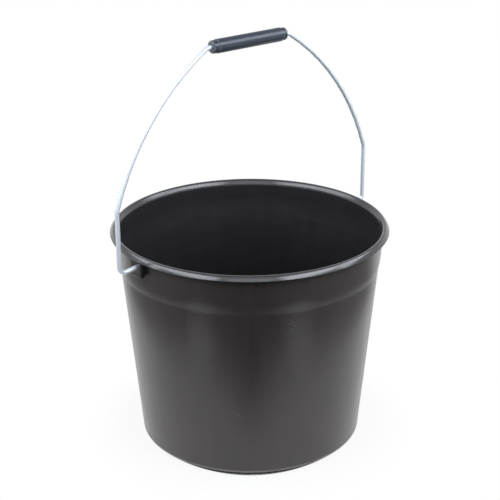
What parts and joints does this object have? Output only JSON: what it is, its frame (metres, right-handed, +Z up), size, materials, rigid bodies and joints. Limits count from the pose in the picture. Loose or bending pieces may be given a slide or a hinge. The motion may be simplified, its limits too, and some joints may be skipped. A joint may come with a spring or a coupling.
{
  "type": "builders bucket",
  "caption": "Tapered round plastic bucket with a rolled rim, a wire bail that swings in moulded ears and a tube grip that turns on it, for carrying mortar, sand and rubble.",
  "frame": {"origin": "centre of the circle of the foot ring, on the ground it stands on, which is the bottom centre of the bounding box", "axes": "+Z up along the axis of the shell, +X along the axis that the bail swings on, +Y square to the raised bail"},
  "size_m": [0.354, 0.31, 0.4615],
  "materials": {
    "shell_plastic": "satin moulded black plastic",
    "galvanised_wire": "bright galvanised drawn wire",
    "grip_plastic": "smooth black plastic tube"
  },
  "bodies": {
    "shell": {"bucket_shell": "shell_plastic"},
    "bail": {"bail_wire": "galvanised_wire"},
    "grip": {"hand_grip": "grip_plastic"}
  },
  "joints": [
    {"name": "bail_swing", "type": "hinge", "parent": "shell", "child": "bail", "pos_m": [0, 0, 0.237], "axis": [1, 0, 0], "range_deg": [-139.5, 139.5]},
    {"name": "grip_spin", "type": "hinge", "parent": "bail", "child": "grip", "pos_m": [0, 0, 0.454], "axis": [1, 0, 0], "continuous": true}
  ]
}
